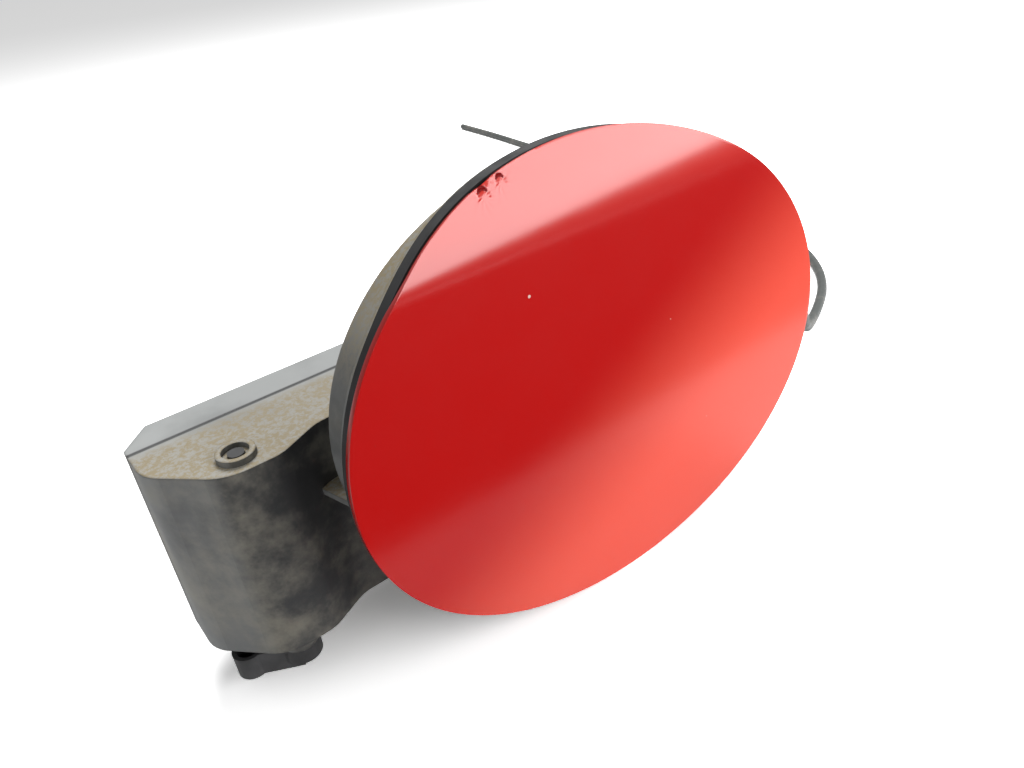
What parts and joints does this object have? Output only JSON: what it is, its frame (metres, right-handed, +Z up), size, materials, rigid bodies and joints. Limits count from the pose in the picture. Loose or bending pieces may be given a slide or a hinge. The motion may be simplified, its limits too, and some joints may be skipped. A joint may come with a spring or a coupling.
{
  "type": "fuel filler flap with pocket housing",
  "caption": "Car fuel filler flap: oval painted lid on a gooseneck hinge, with its moulded pocket, hinge box, latch bolt and release cable.",
  "frame": {"origin": "centre of the filler neck on the back face of the pocket", "axes": "+Y into the car along the filler neck, +X towards the latch, +Z up; the flap faces -Y"},
  "size_m": [0.4203, 0.5281, 0.1446],
  "materials": {
    "red_paint": "gloss car paint",
    "inner_plastic": "moulded matte",
    "housing_plastic": "moulded, dusty",
    "pin_plastic": "moulded",
    "bolt_plastic": "smooth",
    "seal_rubber": "soft matte",
    "spring_steel": "bright",
    "screw_steel": "zinc plated",
    "cable_sheath": "extruded sheath"
  },
  "bodies": {
    "housing": {"pocket_housing": "housing_plastic", "flange_seal": "seal_rubber", "hinge_box_cover": "housing_plastic", "hinge_pin": "pin_plastic", "hinge_spring_strip": "spring_steel", "neck_seal": "seal_rubber", "latch_body": "inner_plastic", "latch_cap": "inner_plastic", "latch_spring": "spring_steel", "latch_screws": "screw_steel", "cable_ferrule": "pin_plastic", "release_cable": "cable_sheath"},
    "flap": {"flap_skin": "red_paint", "flap_carrier": "inner_plastic", "lock_striker": "inner_plastic"},
    "bolt": {"latch_bolt": "bolt_plastic"}
  },
  "joints": [
    {"name": "flap_hinge", "type": "hinge", "parent": "housing", "child": "flap", "pos_m": [-0.106, -0.0225, 0], "axis": [0, 0, -1], "range_deg": [0, 56]},
    {"name": "bolt_slide", "type": "slide", "parent": "housing", "child": "bolt", "axis": [-1, 0, 0], "range_m": [0, 0.007], "deforming": ["latch_spring"]}
  ]
}
